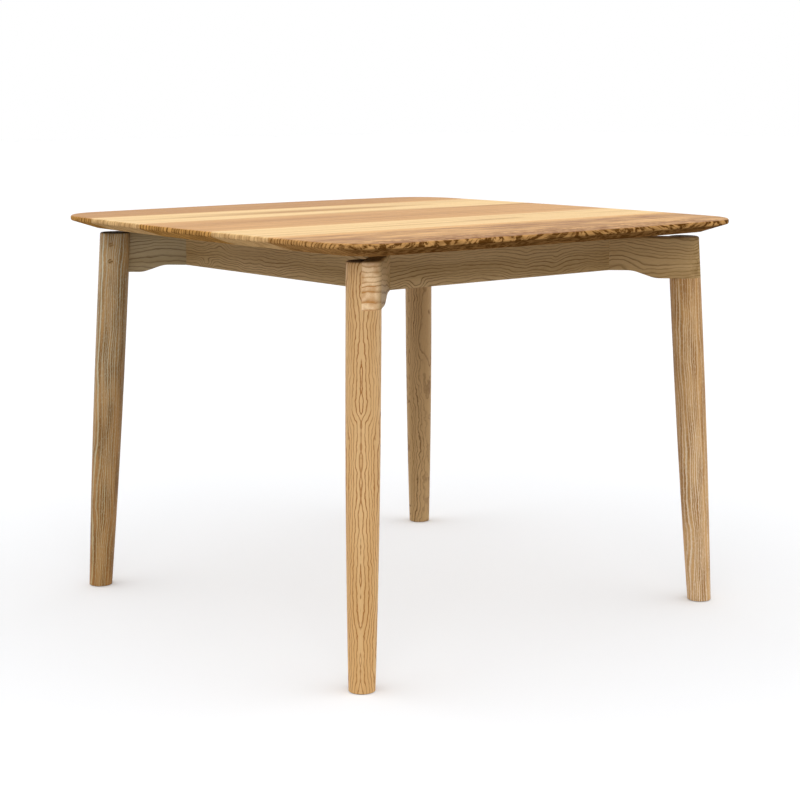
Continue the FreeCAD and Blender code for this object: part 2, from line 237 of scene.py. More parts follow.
def add_node(tree: Tree, kind: str, inputs: dict | None = None, **settings: object) -> Node:
    """Add one shader node with its settings and links.

    Args:
        tree: Node tree that the node goes into.
        kind: Node type, without its "ShaderNode" prefix. The value of the setting that CHOICES names
            may follow it, after a space.
        inputs: Value, socket or node for each input, by the input's name or by its place among those
            that the settings leave enabled. A node stands for its first enabled output.
        **settings: Other properties of the node, set before its inputs.

    Returns:
        The new node.
    """
    kind, _, choice = kind.partition(" ")
    node = tree.nodes.new("ShaderNode" + kind)
    if choice:
        setattr(node, CHOICES[kind], choice)
    for name, value in settings.items():
        setattr(node, name, value)
    enabled = [socket for socket in node.inputs if socket.enabled]
    for key, value in (inputs or {}).items():
        if isinstance(key, int):
            socket = enabled[key]
        else:
            socket = next(one for one in enabled if one.name == key)
        if isinstance(value, bpy.types.Node):
            value = next(one for one in value.outputs if one.enabled)
        if isinstance(value, bpy.types.NodeSocket):
            tree.links.new(value, socket)
        else:
            socket.default_value = value
    return node


def stretched_noise(tree: Tree, place: Node, length: float, width: float, detail: float = 1.0) -> Node:
    """Add noise whose patches are drawn out along the grain.

    Args:
        tree: Node tree of the material.
        place: Place on the board in mm.
        length: Length of the patches along the grain, in mm.
        width: Width of the patches across it, in mm.
        detail: Number of finer layers.

    Returns:
        The noise.
    """
    scaled = add_node(tree, "VectorMath MULTIPLY", {0: place, 1: (1 / length, 1 / width, 1 / width)})
    return add_node(tree, "TexNoise", {"Vector": scaled, "Scale": 1.0, "Detail": detail, "Roughness": 0.5})


def facing_share(tree: Tree, direction: Vector) -> Node:
    """Measure how squarely the surface faces a direction or its opposite.

    Args:
        tree: Node tree of the material.
        direction: The direction, of length 1.

    Returns:
        The share, from 0 to 1.
    """
    normal = add_node(tree, "NewGeometry").outputs["Normal"]
    share = add_node(tree, "VectorMath DOT_PRODUCT", {0: normal, 1: tuple(direction)})
    return add_node(tree, "Math ABSOLUTE", {0: share})


def upward_share(tree: Tree) -> Socket:
    """How far the surface faces up, from -1 to 1."""
    return add_node(tree, "SeparateXYZ", {0: add_node(tree, "NewGeometry").outputs["Normal"]}).outputs["Z"]


def seen_directly(tree: Tree) -> Node:
    """Tell rays from the camera, and those that it sees in gloss or glass, from the others.

    Args:
        tree: Node tree of the material or world.

    Returns:
        1 for those rays, otherwise 0.
    """
    path = add_node(tree, "LightPath")
    seen = add_node(tree, "Math MAXIMUM", {
        0: path.outputs["Is Camera Ray"], 1: path.outputs["Is Glossy Ray"]})
    return add_node(tree, "Math MAXIMUM", {0: seen, 1: path.outputs["Is Transmission Ray"]})


@dataclass(frozen=True)
class Finish(ABC):
    """One material and how it is made."""

    name: str

    def material(self) -> Material:
        """Build the material.

        Returns:
            The material, its tree holding the finish's shader and the output.
        """
        material = bpy.data.materials.new(self.name)
        material.use_nodes = True
        tree = material.node_tree
        tree.nodes.clear()
        add_node(tree, "OutputMaterial", {"Surface": self.shader(tree)})
        return material

    @abstractmethod
    def shader(self, tree: Tree) -> Node:
        """Add the finish's nodes to its material's tree and return the shader."""


def dress(piece: Piece, material: Material) -> None:
    """Give the whole piece one material."""
    piece.data.materials.clear()
    piece.data.materials.append(material)


def dress_node(node: str, finish: Finish) -> None:
    """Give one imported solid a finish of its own."""
    dress(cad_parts[node], finish.material())
    log.info("dressed %s", node)


@dataclass(frozen=True)
class Lay:
    """How a board lay in its tree.

    The growth rings are round the pith, so a board far from it has nearly flat layers. The pith runs
    through one point, in mm, along the grain, and the board lies outward of it.
    """

    pith: Vector
    along: Vector
    outward: Vector

    def axes(self) -> tuple[Vector, Vector, Vector]:
        """Square the board's own axes to each other.

        Returns:
            Directions along the grain, across it and out from the pith.
        """
        along = self.along.normalized()
        outward = (self.outward - self.outward.dot(along) * along).normalized()
        return along, outward.cross(along), outward

    def rotation(self) -> tuple[float, float, float]:
        """Euler angles of the board's own axes."""
        return tuple(Matrix(self.axes()).transposed().to_euler())


@dataclass(frozen=True)
class Warp:
    """How far rings stray from their round, over what length on the grain and width across it, in mm."""

    amount: float
    length: float
    width: float


@dataclass(frozen=True)
class Knot:
    """A place, in the table's own mm, where the rings bulge round a buried twig."""

    place: Vector
    reach_along: float
    reach_across: float
    lift: float


@dataclass(frozen=True)
class Burl:
    """Curly wood beyond one line of the top, where the rings break up into leaning slashes, in mm.

    The lean is sideways run for each mm of height. It changes from one way to the other along the edge.
    Below the arris, on the bevel, the slashes run together into darker wood, which is painted shade, as the
    bevel faces down.
    """

    from_y: float
    to_y: float
    size: float
    lean: float
    arris_z: float
    bevel_shade_share: float


@dataclass(frozen=True)
class Streak:
    """A long band in a board, darker or with a strength below zero paler, by its place in the top, in mm."""

    centre_y: float
    half_width: float
    strength: float
    centre_x: float = 0.0
    half_length: float = 2000.0


@dataclass(frozen=True)
class TopShadeFootTone:
    """Colours that multiply a leg's own at its foot and its top. Those at the top are painted shade, where
    the tabletop shades the leg; a foot colour only darkens the leg towards the floor.
    """

    top: str
    foot: str = "#FFFFFF"
    height: float = 725.0


@dataclass(frozen=True)
class WoodTones:
    """sRGB colours of one board. The last two are for wood that is cut across, by default a leg's, greyed
    there as painted shade.
    """

    light: str
    dark: str
    ring: str
    pore: str
    # By default grey browns, painted shade: a leg's top shows only in the shade under the tabletop
    cut: str = "#A08C70"
    cut_ring: str = "#60503C"


@dataclass(frozen=True)
class Figure:
    """The figure of one board, as the nodes that its colour and its gloss follow."""

    coordinates: Socket
    place: Node
    rings: Node
    pores: Node
    flecks: Node
    cut: Node


@dataclass(frozen=True)
class OiledAsh(Finish):
    """Planed and oiled ash.

    Ash is ring-porous: each year starts with a row of coarse pores, which the oil turns dark, and ends in
    dense pale wood. The eye sees thin brown lines that wander along the board, loops where they run out
    through a flat face, and short dashes where single pores are cut open. Where the wood is cut across,
    it drinks more oil, so edges are darker than faces. Lengths are in mm.
    """

    tones: WoodTones
    lay: Lay
    seed: float
    ring_spacing: float = 8.0
    ring_share: float = 0.36
    ring_contrast: float = 1.0
    # How many rings the slow change of the years' widths moves the lines
    year_swing: float = 1.7
    warps: tuple[Warp, ...] = (Warp(26.0, 200.0, 60.0), Warp(5.0, 40.0, 24.0), Warp(1.6, 8.0, 5.0))
    knots: tuple[Knot, ...] = ()
    burl: Burl | None = None
    tone_length: float = 600.0
    tone_width: float = 30.0
    tone_level: float = 0.5
    tone_swing: float = 0.36
    # Pores are drawn 1.5 mm wide and 14 mm long, far coarser than real, so that they show
    pore_width: float = 1.5
    pore_length: float = 14.0
    pore_contrast: float = 0.35
    pore_depth: float = 0.25
    fleck_contrast: float = 0.25
    roughness: float = 0.5
    open_roughness: float = 0.16
    specular: float = 0.22
    edges_drink: bool = False
    cut_from: float = 0.45
    cut_to: float = 0.9
    cut_contrast: float = 1.3
    streaks: tuple[Streak, ...] = ()
    fray: float = 1.6
    # Painted shade towards a leg's top, under the tabletop, and a given colour towards its foot
    top_shade_foot_tone: TopShadeFootTone | None = None
    # Depth of the plane over which the rings arch, so that their lines mirror about it; 0 for none
    mirror_depth: float = 0.0
    # How far the lines fade where the surface lies along a ring and cuts it at a slant, wide and faint
    flat_fade: float = 0.0

    def shader(self, tree: Tree) -> Node:
        """Build the wood, whose pattern runs through the solid, so that it carries on round each edge.

        Args:
            tree: Node tree of the material.

        Returns:
            The shader.
        """
        coordinates = add_node(tree, "TexCoord").outputs["Object"]
        place = self._place(tree, coordinates)
        cut = self._cut_share(tree)
        rings = self._ring_mask(tree, place, self._ring_radius(tree, coordinates, place), cut)
        if self.burl:
            rings = self._burl_mask(tree, coordinates, rings, self.burl)
        grain = stretched_noise(tree, place, self.pore_length, self.pore_width)
        pores = self._pore_mask(tree, grain, rings)
        flecks = add_node(tree, "MapRange SMOOTHSTEP", {
            "Value": grain, "From Min": 0.46, "From Max": 0.28, "To Max": self.fleck_contrast})
        return self._surface(tree, Figure(coordinates, place, rings, pores, flecks, cut))

    def _place(self, tree: Tree, coordinates: Socket) -> Node:
        """Turn the table's coordinates into the board's own.

        Args:
            tree: Node tree of the material.
            coordinates: The table's coordinates in metres.

        Returns:
            Place in mm from the pith, shifted along it by the seed, and mirrored where the rings arch.
        """
        shift = self.lay.axes()[0] * (self.seed * SEED_SHIFT)
        place = add_node(tree, "Mapping TEXTURE", {
            "Vector": coordinates, "Location": self.lay.pith * MM - shift,
            "Rotation": self.lay.rotation(), "Scale": (MM, MM, MM)})
        if not self.mirror_depth:
            return place
        parts = add_node(tree, "SeparateXYZ", {0: place}).outputs
        off = add_node(tree, "Math SUBTRACT", {0: parts["Z"], 1: self.mirror_depth})
        off = add_node(tree, "Math ABSOLUTE", {0: off})
        depth = add_node(tree, "Math ADD", {0: off, 1: self.mirror_depth})
        return add_node(tree, "CombineXYZ", {"X": parts["X"], "Y": parts["Y"], "Z": depth})

    def _ring_radius(self, tree: Tree, coordinates: Socket, place: Node) -> Node:
        """Measure the distance from the pith, warped as the trunk grew.

        Args:
            tree: Node tree of the material.
            coordinates: The table's coordinates, in which the knots are placed.
            place: Place on the board.

        Returns:
            The distance in mm.
        """
        across = add_node(tree, "VectorMath MULTIPLY", {0: place, 1: (0.0, 1.0, 1.0)})
        radius = add_node(tree, "VectorMath LENGTH", {0: across})
        for warp in self.warps:
            noise = stretched_noise(tree, place, warp.length, warp.width)
            centred = add_node(tree, "Math SUBTRACT", {0: noise, 1: 0.5})
            radius = add_node(tree, "Math MULTIPLY_ADD", {0: centred, 1: warp.amount, 2: radius})
        for knot in self.knots:
            off = add_node(tree, "Mapping TEXTURE", {
                "Vector": coordinates, "Location": knot.place * MM, "Rotation": self.lay.rotation(),
                "Scale": (knot.reach_along * MM, knot.reach_across * MM, knot.reach_across * MM)})
            reach = add_node(tree, "VectorMath LENGTH", {0: off})
            bulge = add_node(tree, "MapRange SMOOTHERSTEP", {
                "Value": reach, "To Min": knot.lift, "To Max": 0.0})
            radius = add_node(tree, "Math ADD", {0: bulge, 1: radius})
        return radius

    def _ring_mask(self, tree: Tree, place: Node, radius: Node, cut: Node) -> Node:
        """Draw the dark early wood: sudden where a year starts, then fading out.

        Args:
            tree: Node tree of the material.
            place: Place on the board.
            radius: Distance from the pith.
            cut: How far the surface is cut across.

        Returns:
            Share of early wood, from 0 to 1.
        """
        years = add_node(tree, "Math MULTIPLY", {0: radius, 1: 1 / self.ring_spacing})
        slow = add_node(tree, "TexNoise 1D", {"W": years, "Scale": 0.23, "Detail": 1.0})
        years = add_node(tree, "Math MULTIPLY_ADD", {0: slow, 1: self.year_swing, 2: years})
        part = add_node(tree, "Math FRACT", {0: years})
        fade = add_node(tree, "MapRange SMOOTHSTEP", {
            "Value": part, "From Min": 0.0, "From Max": self.ring_share, "To Min": 1.0, "To Max": 0.0})
        start = add_node(tree, "MapRange SMOOTHSTEP", {
            "Value": part, "From Min": 1.0 - self.ring_share / 3, "From Max": 1.0})
        line = add_node(tree, "Math MAXIMUM", {0: fade, 1: start})
        year = add_node(tree, "Math FLOOR", {0: years})
        chance = add_node(tree, "TexWhiteNoise 1D", {"W": year})
        strength = add_node(tree, "MapRange", {"Value": chance, "To Min": 0.5})
        line = add_node(tree, "Math MULTIPLY", {0: line, 1: strength})
        presence = add_node(tree, "MapRange", {
            "Value": stretched_noise(tree, place, 150.0, 30.0),
            "From Min": 0.32, "From Max": 0.62, "To Min": 0.55})
        presence = add_node(tree, "Math MAXIMUM", {0: presence, 1: cut})
        return add_node(tree, "Math MULTIPLY", {0: line, 1: presence})

    def _burl_mask(self, tree: Tree, coordinates: Socket, rings: Node, burl: Burl) -> Node:
        """Break the rings up into slashes where the wood is curly.

        Args:
            tree: Node tree of the material.
            coordinates: The table's coordinates.
            rings: Share of early wood.
            burl: The curly wood.

        Returns:
            Share of dark wood, from 0 to 1.
        """
        parts = add_node(tree, "SeparateXYZ", {0: coordinates})
        x, y, z = (parts.outputs[axis] for axis in "XYZ")
        sway = add_node(tree, "TexNoise 1D", {"W": x, "Scale": 7.0, "Detail": 0.0})
        lean = add_node(tree, "MapRange", {
            "Value": sway, "From Min": 0.35, "From Max": 0.65, "To Min": -burl.lean, "To Max": burl.lean})
        drop = add_node(tree, "Math SUBTRACT", {0: z, 1: burl.arris_z * MM})
        run = add_node(tree, "Math MULTIPLY_ADD", {0: lean, 1: drop, 2: x})
        leaning = add_node(tree, "CombineXYZ", {"X": run, "Y": y, "Z": z})
        swirl = add_node(tree, "TexNoise", {
            "Vector": leaning, "Scale": 1 / (burl.size * MM), "Detail": 3.0, "Roughness": 0.55})
        slashes = add_node(tree, "MapRange SMOOTHSTEP", {"Value": swirl, "From Min": 0.43, "From Max": 0.6})
        # Painted shade: below the arris, on the bevel that faces down, the wood is made darker
        on_bevel = add_node(tree, "MapRange", {
            "Value": drop, "From Min": 0.0, "From Max": -MM, "To Max": 0.6})
        slashes = add_node(tree, "Mix", {0: on_bevel, "A": slashes, "B": burl.bevel_shade_share})
        reach = add_node(tree, "MapRange SMOOTHSTEP", {
            "Value": y, "From Min": burl.from_y * MM, "From Max": burl.to_y * MM})
        return add_node(tree, "Mix", {0: reach, "A": rings, "B": slashes})

    def _pore_mask(self, tree: Tree, grain: Node, rings: Node) -> Node:
        """Draw dashes of open pores, mostly in the early wood.

        Args:
            tree: Node tree of the material.
            grain: Fine noise along the grain.
            rings: Share of early wood.

        Returns:
            Share of open pore, from 0 to 1.
        """
        dashes = add_node(tree, "MapRange SMOOTHSTEP", {"Value": grain, "From Min": 0.52, "From Max": 0.7})
        where = add_node(tree, "MapRange", {"Value": rings, "To Min": 0.35})
        return add_node(tree, "Math MULTIPLY", {0: dashes, 1: where})

    def _cut_share(self, tree: Tree) -> Node:
        """Find, from the surface's normal alone, where the wood is cut across or is a narrow edge.

        Args:
            tree: Node tree of the material.

        Returns:
            Share of cut wood, from 0 to 1.
        """
        share = add_node(tree, "MapRange SMOOTHSTEP", {
            "Value": facing_share(tree, self.lay.axes()[0]),
            "From Min": self.cut_from, "From Max": self.cut_to})
        if not self.edges_drink:
            return share
        upward = upward_share(tree)
        below_top = add_node(tree, "MapRange SMOOTHSTEP", {
            "Value": upward, "From Min": 0.97, "From Max": 0.55})
        above_underside = add_node(tree, "MapRange SMOOTHSTEP", {
            "Value": upward, "From Min": -0.99, "From Max": -0.97})
        edge = add_node(tree, "Math MULTIPLY", {0: below_top, 1: above_underside})
        return add_node(tree, "Math MAXIMUM", {0: share, 1: edge})

    def _flat_share(self, tree: Tree) -> Node:
        """How strong the lines are: 1, but less where the surface lies along the rings."""
        return add_node(tree, "MapRange SMOOTHSTEP", {
            "Value": facing_share(tree, self.lay.axes()[2]),
            "From Min": 0.6, "From Max": 0.97, "To Min": 1.0, "To Max": 1.0 - self.flat_fade})

    def _grey_shade_below(self, tree: Tree, colour: Node) -> Node:
        """The colour, or on the underside a greyer, cooler one, painted as the grey shade under the top."""
        below = add_node(tree, "MapRange", {
            "Value": upward_share(tree), "From Min": -0.97, "From Max": -0.99})
        return add_node(tree, "Mix RGBA", {0: below, "A": colour, "B": linear("#CEDCEC")},
                        blend_type="MULTIPLY")

    def _tone(self, tree: Tree, figure: Figure) -> Node:
        """Shade the board with its own changes and its streaks, their borders frayed along the grain.

        Args:
            tree: Node tree of the material.
            figure: The board's figure.

        Returns:
            How dark the board is, from 0 to 1.
        """
        tone = add_node(tree, "MapRange", {
            "Value": stretched_noise(tree, figure.place, self.tone_length, self.tone_width, 2.0),
            "From Min": 0.4, "From Max": 0.6,
            "To Min": self.tone_level - self.tone_swing, "To Max": self.tone_level + self.tone_swing,
        }, clamp=False)
        if self.streaks:
            fray = stretched_noise(tree, figure.place, 160.0, 14.0, 2.0)
            parts = add_node(tree, "SeparateXYZ", {0: figure.coordinates}).outputs
        for streak in self.streaks:
            squares = []
            for axis, centre, half in (
                ("Y", streak.centre_y, streak.half_width), ("X", streak.centre_x, streak.half_length),
            ):
                off = add_node(tree, "Math SUBTRACT", {0: parts[axis], 1: centre * MM})
                off = add_node(tree, "Math DIVIDE", {0: off, 1: half * MM})
                squares.append(add_node(tree, "Math MULTIPLY", {0: off, 1: off}))
            reach = add_node(tree, "Math ADD", {0: squares[0], 1: squares[1]})
            reach = add_node(tree, "Math MULTIPLY_ADD", {0: fray, 1: self.fray, 2: reach})
            share = add_node(tree, "MapRange SMOOTHSTEP", {
                "Value": reach, "From Min": 0.6, "From Max": 2.0, "To Min": streak.strength, "To Max": 0.0})
            tone = add_node(tree, "Math ADD", {0: share, 1: tone})
        return add_node(tree, "Math ADD", {0: tone, 1: 0.0}, use_clamp=True)

    def _colour(self, tree: Tree, figure: Figure) -> Node:
        """Lay the rings, pores and flecks over the board's tone, on faces and where it is cut across.

        Args:
            tree: Node tree of the material.
            figure: The board's figure.

        Returns:
            The board's colour.
        """
        tones, cut = self.tones, figure.cut
        face = add_node(tree, "Mix RGBA", {
            0: self._tone(tree, figure), "A": linear(tones.light), "B": linear(tones.dark)})
        soaked = add_node(tree, "MapRange", {
            "Value": stretched_noise(tree, figure.place, 34.0, 16.0, 2.0),
            "From Min": 0.42, "From Max": 0.66, "To Max": 0.5})
        section = add_node(tree, "Mix RGBA", {
            0: soaked, "A": linear(tones.cut), "B": linear(tones.cut_ring)})
        base = add_node(tree, "Mix RGBA", {0: cut, "A": face, "B": section})
        line = add_node(tree, "Mix RGBA", {0: cut, "A": linear(tones.ring), "B": linear(tones.cut_ring)})
        contrast = add_node(tree, "MapRange", {
            "Value": cut, "To Min": self.ring_contrast, "To Max": self.cut_contrast})
        if self.flat_fade:
            contrast = add_node(tree, "Math MULTIPLY", {0: contrast, 1: self._flat_share(tree)})
        share = add_node(tree, "Math MULTIPLY", {0: figure.rings, 1: contrast}, use_clamp=True)
        colour = add_node(tree, "Mix RGBA", {0: share, "A": base, "B": line})
        dark = add_node(tree, "Math MULTIPLY", {0: figure.pores, 1: self.pore_contrast})
        colour = add_node(tree, "Mix RGBA", {0: dark, "A": colour, "B": linear(tones.pore)})
        colour = add_node(tree, "Mix RGBA", {0: figure.flecks, "A": colour, "B": linear(tones.light)})
        if self.edges_drink:
            # Painted shade: the underside is made greyer and cooler
            colour = self._grey_shade_below(tree, colour)
        if not self.top_shade_foot_tone:
            return colour
        # Painted shade: the leg darkens towards its top, under the tabletop; a foot colour darkens it
        # towards the floor
        height = add_node(tree, "MapRange", {
            "Value": add_node(tree, "SeparateXYZ", {0: figure.coordinates}).outputs["Z"],
            "From Max": self.top_shade_foot_tone.height * MM})
        top_shade_foot_tone = add_node(tree, "Mix RGBA", {
            0: height, "A": linear(self.top_shade_foot_tone.foot), "B": linear(self.top_shade_foot_tone.top)})
        return add_node(tree, "Mix RGBA", {0: 1.0, "A": colour, "B": top_shade_foot_tone}, blend_type="MULTIPLY")

    def _surface(self, tree: Tree, figure: Figure) -> Node:
        """Oil it satin: smooth on dense wood, dull and slightly sunken at open pores, dull where cut.

        Args:
            tree: Node tree of the material.
            figure: The board's figure.

        Returns:
            The shader.
        """
        open_wood = add_node(tree, "Math ADD", {0: figure.rings, 1: figure.pores}, use_clamp=True)
        roughness = add_node(tree, "MapRange", {
            "Value": open_wood, "To Min": self.roughness, "To Max": self.roughness + self.open_roughness})
        height = add_node(tree, "Math MULTIPLY", {0: open_wood, 1: -1.0})
        bump = add_node(tree, "Bump", {"Strength": 0.5, "Distance": self.pore_depth * MM, "Height": height})
        gloss = add_node(tree, "MapRange", {"Value": figure.cut, "To Min": self.specular, "To Max": 0.0})
        return add_node(tree, "BsdfPrincipled", {
            "Base Color": self._colour(tree, figure), "Roughness": roughness, "Normal": bump,
            "Specular IOR Level": gloss})


@dataclass(frozen=True)
class ZincPlatedSteel(Finish):
    """Bright zinc on steel, as wood screws have: a cool metal with faint cloudy passivation."""

    name: str = "zinc_plated_steel"
    bright: str = "#C9CCD1"
    clouded: str = "#A9ABA9"

    def shader(self, tree: Tree) -> Node:
        """Build the metal, cloudy over patches about 2 mm wide.

        Args:
            tree: Node tree of the material.

        Returns:
            The shader.
        """
        coordinates = add_node(tree, "TexCoord").outputs["Object"]
        clouds = add_node(tree, "TexNoise", {"Vector": coordinates, "Scale": 500.0, "Detail": 3.0})
        colour = add_node(tree, "Mix RGBA", {0: clouds, "A": linear(self.bright), "B": linear(self.clouded)})
        roughness = add_node(tree, "MapRange", {"Value": clouds, "To Min": 0.22, "To Max": 0.42})
        return add_node(tree, "BsdfPrincipled", {
            "Base Color": colour, "Metallic": 1.0, "Roughness": roughness})


@dataclass(frozen=True)
class MouldedNylon(Finish):
    """Moulded nylon of a furniture glide: soft sheen, fine spark-eroded texture."""

    name: str = "moulded_nylon"
    colour: str = "#57483A"
    worn: str = "#6B5B4B"

    def shader(self, tree: Tree) -> Node:
        """Build the plastic, its texture about 0.4 mm in grain.

        Args:
            tree: Node tree of the material.

        Returns:
            The shader.
        """
        coordinates = add_node(tree, "TexCoord").outputs["Object"]
        grit = add_node(tree, "TexNoise", {"Vector": coordinates, "Scale": 2500.0, "Detail": 2.0})
        patches = add_node(tree, "TexNoise", {"Vector": coordinates, "Scale": 120.0, "Detail": 2.0})
        colour = add_node(tree, "Mix RGBA", {0: patches, "A": linear(self.colour), "B": linear(self.worn)})
        roughness = add_node(tree, "MapRange", {"Value": patches, "To Min": 0.4, "To Max": 0.6})
        bump = add_node(tree, "Bump", {"Strength": 0.4, "Distance": 0.05 * MM, "Height": grit})
        return add_node(tree, "BsdfPrincipled", {
            "Base Color": colour, "Roughness": roughness, "Normal": bump})


@dataclass(frozen=True)
class MattFloor(Finish):
    """Matt white paint, shown white but for the table's shadow, and greyer in what it throws back."""

    name: str = "matt_white_floor"
    bounce: str = "#B8B8B8"
    shown: str = "#F9FAFC"

    def shader(self, tree: Tree) -> Node:
        """Build the paint, with no gloss."""
        colour = add_node(tree, "Mix RGBA", {
            0: seen_directly(tree), "A": linear(self.bounce), "B": linear(self.shown)})
        return add_node(tree, "BsdfDiffuse", {"Color": colour})


@dataclass
class Tabletop:
    """The top: five wide staves, quarter sawn but for the front one, edge glued."""

    cream: WoodTones = WoodTones(
        light="#F3CF92", dark="#BB8A4E", ring="#B88450", pore="#B5844C", cut="#E4BC84", cut_ring="#93602E")
    tan: WoodTones = WoodTones(
        light="#DCA86A", dark="#B7834A", ring="#A0703A", pore="#9C6C3A", cut="#D49E58", cut_ring="#56340E")
    brown: WoodTones = WoodTones(
        light="#EAB673", dark="#A06D38", ring="#7C4E26", pore="#7C5030", cut="#CC9A5E", cut_ring="#5E3A12")

    def staves(self) -> dict[str, OiledAsh]:
        """Choose the wood of each stave.

        Returns:
            The wood by the name of the stave, front one first.
        """
        straight = (Warp(14.0, 420.0, 60.0), Warp(2.0, 60.0, 24.0), Warp(1.2, 8.0, 5.0))
        wavy = (Warp(20.0, 150.0, 60.0), Warp(5.0, 40.0, 24.0), Warp(1.6, 8.0, 5.0))
        return {
            "top_stave_1": self._stave(
                1, self.brown, Vector((0, -700, 620)), wavy,
                ring_spacing=7.5, ring_share=0.42, ring_contrast=0.7,
                tone_level=0.58, tone_swing=0.22, tone_width=18.0, tone_length=100.0,
                burl=Burl(-390.0, -475.0, 12.0, 2.2, 751.0, 0.8),
                streaks=(
                    Streak(-274.0, 20.0, -1.0), Streak(-380.0, 36.0, -0.45, -240.0, 110.0),
                    Streak(-404.0, 34.0, -0.45, 310.0, 180.0), Streak(-478.0, 38.0, 0.45, -200.0, 400.0),
                    Streak(-374.0, 20.0, 0.4, 90.0, 90.0), Streak(-380.0, 45.0, 0.3, -420.0, 80.0),
                )),
            "top_stave_2": self._stave(
                2, self.cream, Vector((0, -700, 700)), straight,
                ring_spacing=9.0, ring_contrast=0.42, cut_contrast=0.7, tone_level=0.06, tone_swing=0.14,
                streaks=(
                    Streak(-182.0, 12.0, 0.8, 80.0, 110.0), Streak(-196.0, 14.0, 0.3, -60.0, 260.0),
                    Streak(-186.0, 16.0, 0.35, 440.0, 140.0), Streak(-236.0, 10.0, 0.15),
                )),
            "top_stave_3": self._stave(
                3, self.tan, Vector((0, -500, 650)), straight,
                ring_spacing=9.0, ring_contrast=0.55, tone_level=0.36, tone_swing=0.2,
                streaks=(
                    Streak(58.0, 15.0, 0.6, -240.0, 330.0), Streak(0.0, 20.0, 0.4, 80.0, 300.0),
                    Streak(-20.0, 12.0, -0.35, -460.0, 220.0), Streak(-92.0, 16.0, -0.45),
                    Streak(130.0, 14.0, -0.45, -300.0, 360.0), Streak(40.0, 20.0, -0.3, 400.0, 200.0),
                )),
            "top_stave_4": self._stave(
                4, self.cream, Vector((0, -300, 640)), straight,
                ring_spacing=9.5, ring_contrast=0.42, cut_contrast=0.7, tone_level=0.04, tone_swing=0.14,
                streaks=(Streak(232.0, 36.0, 1.0, -60.0, 460.0), Streak(142.0, 16.0, 0.6, 100.0, 400.0))),
            "top_stave_5": self._stave(
                5, self.tan, Vector((0, -100, 600)), straight,
                ring_spacing=9.0, ring_contrast=0.55, tone_level=0.88, tone_swing=0.18,
                streaks=(
                    Streak(328.0, 14.0, -0.6), Streak(338.0, 20.0, -0.7, 420.0, 330.0),
                    Streak(390.0, 60.0, -0.45, 500.0, 260.0),
                )),
        }

    def _stave(self, number: int, tones: WoodTones, pith: Vector, warps: tuple[Warp, ...],
               **looks: object) -> OiledAsh:
        """The wood of one stave, its rings on edge and its edges soaked with oil."""
        looks = {"tone_width": 16.0, "edges_drink": True, "specular": 0.18, **looks}
        return OiledAsh(f"oiled_ash_stave_{number}", tones, Lay(pith, RIGHTWARDS, BACKWARDS),
                        seed=float(number), warps=warps, **looks)

    def build(self) -> None:
        """Dress the staves."""
        for node, wood in self.staves().items():
            dress_node(node, wood)


@dataclass
class Underframe:
    """Four rails and four diagonal arms, with the layers of the wood lying flat, one over another."""

    tones: WoodTones = WoodTones(
        light="#CCAA7A", dark="#B2905E", ring="#705024", pore="#70522E", cut="#C0A070", cut_ring="#6E4E24")
    # Front left arm: the light cut-across tone of its nose is painted light, and the darker tones of its
    # flat sides are painted shade; the cut share fades over the round nose, so the painted light falls off
    # towards the sides
    lit_nose_shaded_sides_tones: WoodTones = WoodTones(
        light="#BE9A68", dark="#A68450", ring="#6A4A20", pore="#70522E", cut="#FAD8AC", cut_ring="#B87830")
    shaded_tones: WoodTones = WoodTones(
        light="#B8A380", dark="#A18A63", ring="#665030", pore="#6A5434", cut="#AE9A76", cut_ring="#665030")
    lines: CornerLines = CornerLines()
    pith_z: float = 280.0
    rail_pith_out: float = 240.0

    def rail_knots(self, side: Side) -> tuple[Knot, ...]:
        """Where the grain of one rail bulges, if it does."""
        return {
            Side.LEFT: (Knot(Vector((-295, 222, 666)), 34.0, 20.0, 12.0),
                        Knot(Vector((-295, 168, 712)), 44.0, 20.0, -8.0)),
            Side.FRONT: (Knot(Vector((-212, -316, 662)), 34.0, 24.0, 12.0),
                         Knot(Vector((62, -316, 690)), 50.0, 30.0, 4.0),
                         Knot(Vector((222, -316, 668)), 44.0, 20.0, -7.0)),
        }.get(side, ())

    def arm_knots(self, corner: Corner) -> tuple[Knot, ...]:
        """Where the grain of one arm bulges, if it does."""
        return {
            Corner.FRONT_RIGHT: (Knot(Vector((288, -330, 690)), 60.0, 60.0, -16.0),),
            Corner.FRONT_LEFT: (Knot(corner.turned(440.0, 30.0, 680.0), 40.0, 24.0, 8.0),
                                Knot(corner.turned(628.0, 20.0, 712.0), 40.0, 16.0, 7.0)),
        }.get(corner, ())

    def build(self) -> None:
        """Dress the rails and the arms."""
        rail_warps = (Warp(30.0, 170.0, 90.0), Warp(16.0, 60.0, 50.0), Warp(2.6, 16.0, 12.0))
        arm_warps = (Warp(34.0, 120.0, 70.0), Warp(12.0, 46.0, 46.0), Warp(3.0, 14.0, 12.0))
        for number, side in enumerate(Side):
            along, facing = (Vector(direction) for direction in side.value)
            pith = facing * self.rail_pith_out + UPWARDS * self.pith_z
            dress_node("rail_" + side.label, OiledAsh(
                "oiled_ash_rail_" + side.label, self.tones, Lay(pith, along, UPWARDS),
                seed=11.0 + number, ring_spacing=5.4, ring_contrast=0.95, warps=rail_warps,
                knots=self.rail_knots(side)))
        for number, corner in enumerate(Corner):
            pith = corner.turned(0.0, self.lines.arm_v, self.pith_z)
            own_tones = {Corner.FRONT_LEFT: self.lit_nose_shaded_sides_tones, Corner.BACK_LEFT: self.shaded_tones}
            dress_node("arm_" + corner.label, OiledAsh(
                "oiled_ash_arm_" + corner.label, own_tones.get(corner, self.tones),
                Lay(pith, corner.turned(1.0, 0.0, 0.0), UPWARDS), seed=21.0 + number,
                ring_spacing=11.0 if corner is Corner.FRONT_LEFT else 7.4, warps=arm_warps,
                knots=self.arm_knots(corner), cut_from=0.05, cut_to=0.85, cut_contrast=1.0))


